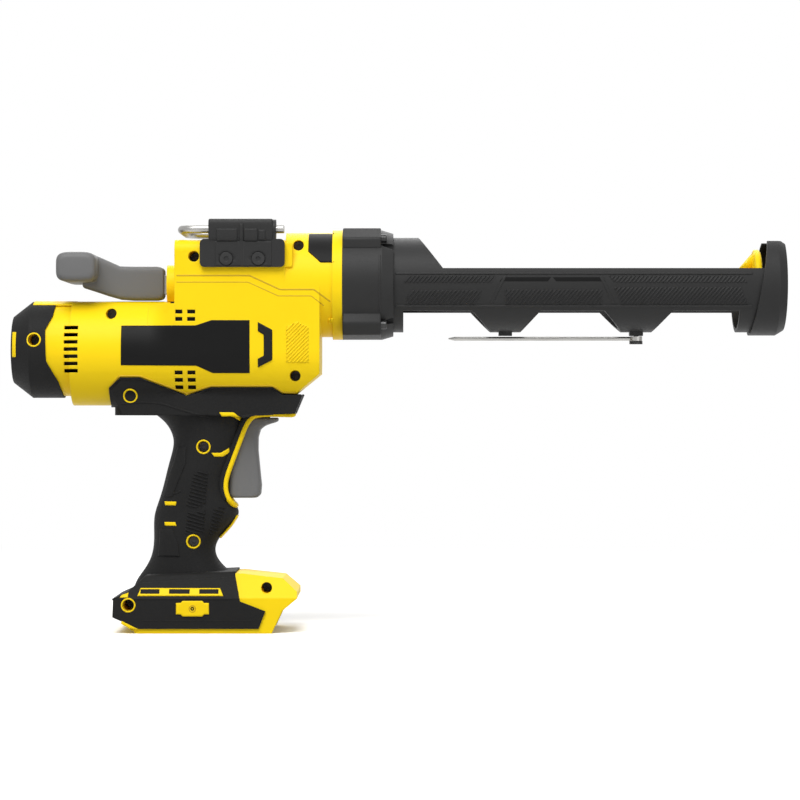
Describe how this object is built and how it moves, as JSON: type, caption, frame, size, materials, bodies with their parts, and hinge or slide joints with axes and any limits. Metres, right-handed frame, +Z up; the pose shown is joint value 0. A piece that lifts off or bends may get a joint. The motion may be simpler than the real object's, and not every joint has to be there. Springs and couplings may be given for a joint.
{
  "type": "cordless caulking tool",
  "caption": "Hand-held powered caulking tool: yellow pistol-grip housing with battery foot, open cartridge cradle with end ring, rack plunger with pull handle, trigger and wire hook.",
  "frame": {"origin": "middle of the tool's length and width, on the plane that its foot stands on", "axes": "+X forward along the cradle, +Y to the tool's left, +Z up"},
  "size_m": [0.4874, 0.0774, 0.2583],
  "materials": {
    "yellow_plastic": "fine moulded texture",
    "black_rubber": "soft matt overmould",
    "black_plastic": "fine moulded texture",
    "grey_plastic": "smooth satin",
    "dark_steel": "black oxide",
    "bright_steel": "zinc plated",
    "gear_steel": "sintered, oiled",
    "cast_alloy": "as cast",
    "bronze": "machined",
    "circuit_board": "solder mask"
  },
  "bodies": {
    "housing": {"barrel": "black_plastic", "barrel_collar": "black_plastic", "bracket_screws": "dark_steel", "carrier_bearing": "bright_steel", "collar_screws": "dark_steel", "control_board": "circuit_board", "cross_bearings": "bright_steel", "drive_bearings": "bright_steel", "foot_panel_left": "black_rubber", "foot_panel_right": "black_rubber", "front_ring": "black_plastic", "gearbox_housing": "cast_alloy", "grip_overmould_left": "black_rubber", "grip_overmould_right": "black_rubber", "hook_bracket": "black_plastic", "housing_left": "yellow_plastic", "housing_right": "yellow_plastic", "housing_screws": "dark_steel", "motor_bearings": "bright_steel", "motor_can": "dark_steel", "motor_end_cap": "black_plastic", "motor_magnets": "dark_steel", "piercing_rod_screw": "dark_steel", "rear_bumper_left": "black_rubber", "rear_bumper_right": "black_rubber", "ring_gear": "gear_steel", "rod_bushes": "bronze", "speed_dial_unit": "black_plastic", "switch_module": "black_plastic", "terminal_blades": "bronze", "terminal_block": "black_plastic", "trigger_pin": "bright_steel"},
    "plunger": {"plunger_rod": "bright_steel", "piston": "yellow_plastic", "piston_screw": "dark_steel", "pull_handle": "grey_plastic", "handle_pin": "bright_steel"},
    "drive_shaft": {"drive_shaft": "bright_steel", "rack_pinion": "gear_steel", "clutch_hub": "gear_steel"},
    "drive_gear": {"drive_gear": "gear_steel"},
    "cross_shaft": {"cross_shaft": "bright_steel", "bevel_gear": "gear_steel", "spur_pinion": "gear_steel"},
    "carrier": {"planet_carrier": "gear_steel", "planet_pins": "bright_steel", "bevel_pinion": "gear_steel"},
    "planet_1": {"planet_gear_1": "gear_steel"},
    "planet_2": {"planet_gear_2": "gear_steel"},
    "planet_3": {"planet_gear_3": "gear_steel"},
    "rotor": {"motor_rotor": "bright_steel", "motor_fan": "black_plastic", "sun_pinion": "gear_steel"},
    "trigger": {"trigger": "grey_plastic"},
    "switch_plunger": {"switch_plunger": "grey_plastic"},
    "hang_hook": {"hang_hook": "bright_steel"},
    "piercing_rod": {"piercing_rod": "bright_steel"},
    "speed_dial": {"speed_dial": "yellow_plastic"}
  },
  "joints": [
    {"name": "plunger_slide", "type": "slide", "parent": "housing", "child": "plunger", "axis": [-1, 0, 0], "range_m": [0, 0.222]},
    {"name": "drive_shaft_spin", "type": "hinge", "parent": "housing", "child": "drive_shaft", "pos_m": [-0.086, 0, 0.205], "axis": [0, 1, 0], "range_deg": [-1415, 0]},
    {"name": "rotor_spin", "type": "hinge", "parent": "housing", "child": "rotor", "pos_m": [-0.18, 0, 0.175], "axis": [1, 0, 0], "continuous": true},
    {"name": "carrier_spin", "type": "hinge", "parent": "housing", "child": "carrier", "pos_m": [-0.125, 0, 0.175], "axis": [1, 0, 0], "continuous": true},
    {"name": "cross_shaft_spin", "type": "hinge", "parent": "housing", "child": "cross_shaft", "pos_m": [-0.086, 0, 0.175], "axis": [0, 1, 0], "continuous": true},
    {"name": "drive_gear_spin", "type": "hinge", "parent": "housing", "child": "drive_gear", "pos_m": [-0.086, 0.018, 0.205], "axis": [0, 1, 0], "continuous": true},
    {"name": "planet_1_spin", "type": "hinge", "parent": "carrier", "child": "planet_1", "pos_m": [-0.1495, 0, 0.187], "axis": [1, 0, 0], "continuous": true},
    {"name": "planet_2_spin", "type": "hinge", "parent": "carrier", "child": "planet_2", "pos_m": [-0.1495, -0.01039, 0.169], "axis": [1, 0, 0], "continuous": true},
    {"name": "planet_3_spin", "type": "hinge", "parent": "carrier", "child": "planet_3", "pos_m": [-0.1495, 0.01039, 0.169], "axis": [1, 0, 0], "continuous": true},
    {"name": "trigger_pull", "type": "hinge", "parent": "housing", "child": "trigger", "pos_m": [-0.086, 0, 0.141], "axis": [0, 1, 0], "range_deg": [0, 9], "stiffness_Nm_per_rad": 2, "springref_deg": -8.59},
    {"name": "switch_plunger_slide", "type": "slide", "parent": "housing", "child": "switch_plunger", "axis": [-1, 0, 0], "range_m": [0, 0.0074]},
    {"name": "hook_swing", "type": "hinge", "parent": "housing", "child": "hang_hook", "pos_m": [-0.0975, -0.0306, 0.2523], "axis": [1, 0, 0], "range_deg": [0, 180]},
    {"name": "piercing_rod_swing", "type": "hinge", "parent": "housing", "child": "piercing_rod", "pos_m": [0.1507, 0, 0.1844], "axis": [0, 0, 1], "range_deg": [0, 180]},
    {"name": "speed_dial_turn", "type": "hinge", "parent": "housing", "child": "speed_dial", "pos_m": [-0.242, 0, 0.1793], "axis": [1, 0, 0], "range_deg": [0, 270]}
  ],
  "couplings": [
    {"joint": "drive_shaft_spin", "follows": "plunger_slide", "rad_per_m": -111.11},
    {"joint": "carrier_spin", "follows": "rotor_spin", "ratio": 0.2},
    {"joint": "planet_1_spin", "follows": "rotor_spin", "ratio": -0.53333},
    {"joint": "planet_2_spin", "follows": "rotor_spin", "ratio": -0.53333},
    {"joint": "planet_3_spin", "follows": "rotor_spin", "ratio": -0.53333},
    {"joint": "cross_shaft_spin", "follows": "rotor_spin", "ratio": 0.1},
    {"joint": "drive_gear_spin", "follows": "rotor_spin", "ratio": -0.06},
    {"joint": "switch_plunger_slide", "follows": "trigger_pull", "m_per_rad": 0.0465}
  ]
}
